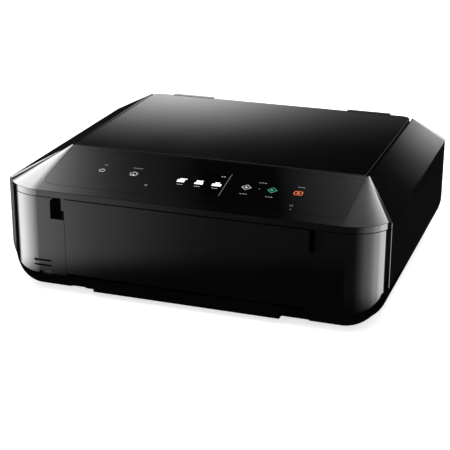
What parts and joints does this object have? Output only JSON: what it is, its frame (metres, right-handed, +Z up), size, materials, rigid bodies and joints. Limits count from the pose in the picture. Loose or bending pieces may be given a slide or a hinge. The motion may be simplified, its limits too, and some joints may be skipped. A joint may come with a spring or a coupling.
{
  "type": "inkjet printer",
  "caption": "Flat desktop inkjet all-in-one: sloped operation panel, document lid, hinged scanner unit, fold-down front cover and a paper cassette below.",
  "frame": {"origin": "centre of the footprint, on the surface the printer stands on", "axes": "+X to the printer's right as seen from the front, +Y to the back, +Z up"},
  "size_m": [0.455, 0.369, 0.1484],
  "materials": {
    "gloss_shell": "polished black moulding",
    "panel_gloss": "high gloss black panel",
    "dark_plastic": "fine grain black moulding",
    "screen": "dark display glass",
    "clear_glass": "clear float glass",
    "steel": "zinc plated sheet and rod",
    "light_plastic": "natural acetal",
    "rubber": "fine matte",
    "white_foam": "white sheet over foam",
    "felt": "pressed felt",
    "film": "clear film with fine lines",
    "board": "green solder mask",
    "zinc_case": "black coated case",
    "ink_tank": "smooth moulding",
    "head": "satin"
  },
  "bodies": {
    "base": {"bottom_case": "dark_plastic", "side_cover_left": "gloss_shell", "side_cover_right": "gloss_shell", "front_corner_left": "gloss_shell", "front_corner_right": "gloss_shell", "rear_cover": "dark_plastic", "side_frames": "steel", "chassis_plate": "steel", "chassis_screws": "steel", "carriage_rail": "steel", "print_platen": "dark_plastic", "encoder_strip": "film", "feed_motor": "steel", "carriage_motor": "steel", "carriage_belt": "rubber", "purge_unit": "dark_plastic", "waste_ink_absorber": "felt", "main_board": "board", "power_supply": "zinc_case", "power_inlet": "dark_plastic", "card_reader": "dark_plastic", "output_tray": "dark_plastic", "rubber_feet": "rubber"},
    "feed": {"feed_roller": "rubber", "feed_gear": "light_plastic"},
    "motor_pinion": {"motor_pinion": "light_plastic"},
    "idler_gear": {"idler_gear": "light_plastic"},
    "eject_roller": {"eject_roller": "rubber"},
    "pinch_rollers": {"pinch_rollers": "rubber"},
    "pickup_arm": {"pickup_arm": "dark_plastic"},
    "pickup_roller": {"pickup_roller": "rubber"},
    "carriage": {"carriage": "dark_plastic", "print_head": "head", "ink_tanks": "ink_tank"},
    "drive_pulley": {"drive_pulley": "light_plastic"},
    "idler_pulley": {"idler_pulley": "light_plastic"},
    "cap_sled": {"cap_sled": "rubber"},
    "rear_door": {"rear_door": "dark_plastic"},
    "front_cover": {"front_cover": "gloss_shell"},
    "output_extension": {"output_extension": "dark_plastic"},
    "cassette": {"cassette": "gloss_shell"},
    "side_guide_left": {"side_guide_left": "dark_plastic"},
    "side_guide_right": {"side_guide_right": "dark_plastic"},
    "guide_pinion": {"guide_pinion": "dark_plastic"},
    "scanner_unit": {"scanner_base": "gloss_shell", "scanner_frame": "gloss_shell", "platen_glass": "clear_glass", "panel_housing": "gloss_shell", "panel_overlay": "panel_gloss", "lcd_module": "screen", "scan_rail": "steel"},
    "scan_carriage": {"scan_carriage": "dark_plastic"},
    "support_arm": {"support_arm": "dark_plastic"},
    "document_lid": {"document_lid": "gloss_shell", "lid_pad": "white_foam"},
    "power_button": {"power_button": "panel_gloss"},
    "home_button": {"home_button": "panel_gloss"},
    "black_start_button": {"black_start_button": "panel_gloss"},
    "colour_start_button": {"colour_start_button": "panel_gloss"},
    "stop_button": {"stop_button": "panel_gloss"}
  },
  "joints": [
    {"name": "unit_hinge", "type": "hinge", "parent": "base", "child": "scanner_unit", "pos_m": [0, 0.176, 0.111], "axis": [-1, 0, 0], "range_deg": [0, 40]},
    {"name": "support_arm_pivot", "type": "hinge", "parent": "scanner_unit", "child": "support_arm", "pos_m": [0.215, 0.038, 0.111], "axis": [-1, 0, 0], "range_deg": [0, 50.5]},
    {"name": "lid_hinge", "type": "hinge", "parent": "scanner_unit", "child": "document_lid", "pos_m": [0, 0.179, 0.1355], "axis": [-1, 0, 0], "range_deg": [0, 75]},
    {"name": "cover_hinge", "type": "hinge", "parent": "base", "child": "front_cover", "pos_m": [0, -0.1809, 0.0292], "axis": [1, 0, 0], "range_deg": [0, 90]},
    {"name": "extension_slide", "type": "slide", "parent": "front_cover", "child": "output_extension", "axis": [0, 0, 1], "range_m": [0, 0.05]},
    {"name": "cassette_slide", "type": "slide", "parent": "base", "child": "cassette", "axis": [0, -1, 0], "range_m": [0, 0.27]},
    {"name": "right_guide_slide", "type": "slide", "parent": "cassette", "child": "side_guide_right", "axis": [-1, 0, 0], "range_m": [0, 0.045]},
    {"name": "left_guide_slide", "type": "slide", "parent": "cassette", "child": "side_guide_left", "axis": [1, 0, 0], "range_m": [0, 0.045]},
    {"name": "guide_pinion_turn", "type": "hinge", "parent": "cassette", "child": "guide_pinion", "pos_m": [0, -0.04, 0.0108], "axis": [0, 0, 1], "range_deg": [0, 310]},
    {"name": "carriage_slide", "type": "slide", "parent": "base", "child": "carriage", "axis": [-1, 0, 0], "range_m": [0, 0.276]},
    {"name": "drive_pulley_turn", "type": "hinge", "parent": "base", "child": "drive_pulley", "pos_m": [0.193, 0.113, 0.084], "axis": [0, 0, 1], "continuous": true},
    {"name": "idler_pulley_turn", "type": "hinge", "parent": "base", "child": "idler_pulley", "pos_m": [-0.19, 0.113, 0.084], "axis": [0, 0, 1], "continuous": true},
    {"name": "cap_lift", "type": "slide", "parent": "base", "child": "cap_sled", "axis": [0, 0, 1], "range_m": [-0.005, 0]},
    {"name": "feed_roller_turn", "type": "hinge", "parent": "base", "child": "feed", "pos_m": [0, 0.11, 0.052], "axis": [1, 0, 0], "continuous": true},
    {"name": "motor_pinion_turn", "type": "hinge", "parent": "base", "child": "motor_pinion", "pos_m": [0, 0.11, 0.022], "axis": [1, 0, 0], "continuous": true},
    {"name": "idler_gear_turn", "type": "hinge", "parent": "base", "child": "idler_gear", "pos_m": [0, 0.077, 0.052], "axis": [1, 0, 0], "continuous": true},
    {"name": "eject_roller_turn", "type": "hinge", "parent": "base", "child": "eject_roller", "pos_m": [0, 0.048, 0.052], "axis": [1, 0, 0], "continuous": true},
    {"name": "pinch_roller_turn", "type": "hinge", "parent": "base", "child": "pinch_rollers", "pos_m": [0, 0.11, 0.0633], "axis": [1, 0, 0], "continuous": true},
    {"name": "pickup_arm_swing", "type": "hinge", "parent": "base", "child": "pickup_arm", "pos_m": [0, 0.092, 0.0365], "axis": [1, 0, 0], "range_deg": [0, 15]},
    {"name": "pickup_roller_turn", "type": "hinge", "parent": "pickup_arm", "child": "pickup_roller", "pos_m": [0, 0.054, 0.0342], "axis": [1, 0, 0], "continuous": true},
    {"name": "rear_door_hinge", "type": "hinge", "parent": "base", "child": "rear_door", "pos_m": [0, 0.181, 0.0345], "axis": [-1, 0, 0], "range_deg": [0, 55]},
    {"name": "scan_slide", "type": "slide", "parent": "scanner_unit", "child": "scan_carriage", "axis": [1, 0, 0], "range_m": [0, 0.276]},
    {"name": "power_button_press", "type": "slide", "parent": "scanner_unit", "child": "power_button", "axis": [0, 0.2002, -0.9798], "range_m": [0, 0.0008], "stiffness_N_per_m": 400},
    {"name": "home_button_press", "type": "slide", "parent": "scanner_unit", "child": "home_button", "axis": [0, 0.2002, -0.9798], "range_m": [0, 0.0008], "stiffness_N_per_m": 400},
    {"name": "black_start_button_press", "type": "slide", "parent": "scanner_unit", "child": "black_start_button", "axis": [0, 0.2002, -0.9798], "range_m": [0, 0.0008], "stiffness_N_per_m": 400},
    {"name": "colour_start_button_press", "type": "slide", "parent": "scanner_unit", "child": "colour_start_button", "axis": [0, 0.2002, -0.9798], "range_m": [0, 0.0008], "stiffness_N_per_m": 400},
    {"name": "stop_button_press", "type": "slide", "parent": "scanner_unit", "child": "stop_button", "axis": [0, 0.2002, -0.9798], "range_m": [0, 0.0008], "stiffness_N_per_m": 400}
  ],
  "couplings": [
    {"joint": "support_arm_pivot", "follows": "unit_hinge", "ratio": 1.25},
    {"joint": "extension_slide", "follows": "cover_hinge", "m_per_rad": 0.0318},
    {"joint": "left_guide_slide", "follows": "right_guide_slide", "ratio": 1},
    {"joint": "guide_pinion_turn", "follows": "right_guide_slide", "rad_per_m": 119.05},
    {"joint": "drive_pulley_turn", "follows": "carriage_slide", "rad_per_m": -156.25},
    {"joint": "idler_pulley_turn", "follows": "carriage_slide", "rad_per_m": -156.25},
    {"joint": "motor_pinion_turn", "follows": "feed_roller_turn", "ratio": -4},
    {"joint": "idler_gear_turn", "follows": "feed_roller_turn", "ratio": -2.6667},
    {"joint": "eject_roller_turn", "follows": "feed_roller_turn", "ratio": 1.2},
    {"joint": "pinch_roller_turn", "follows": "feed_roller_turn", "ratio": -1.75}
  ]
}
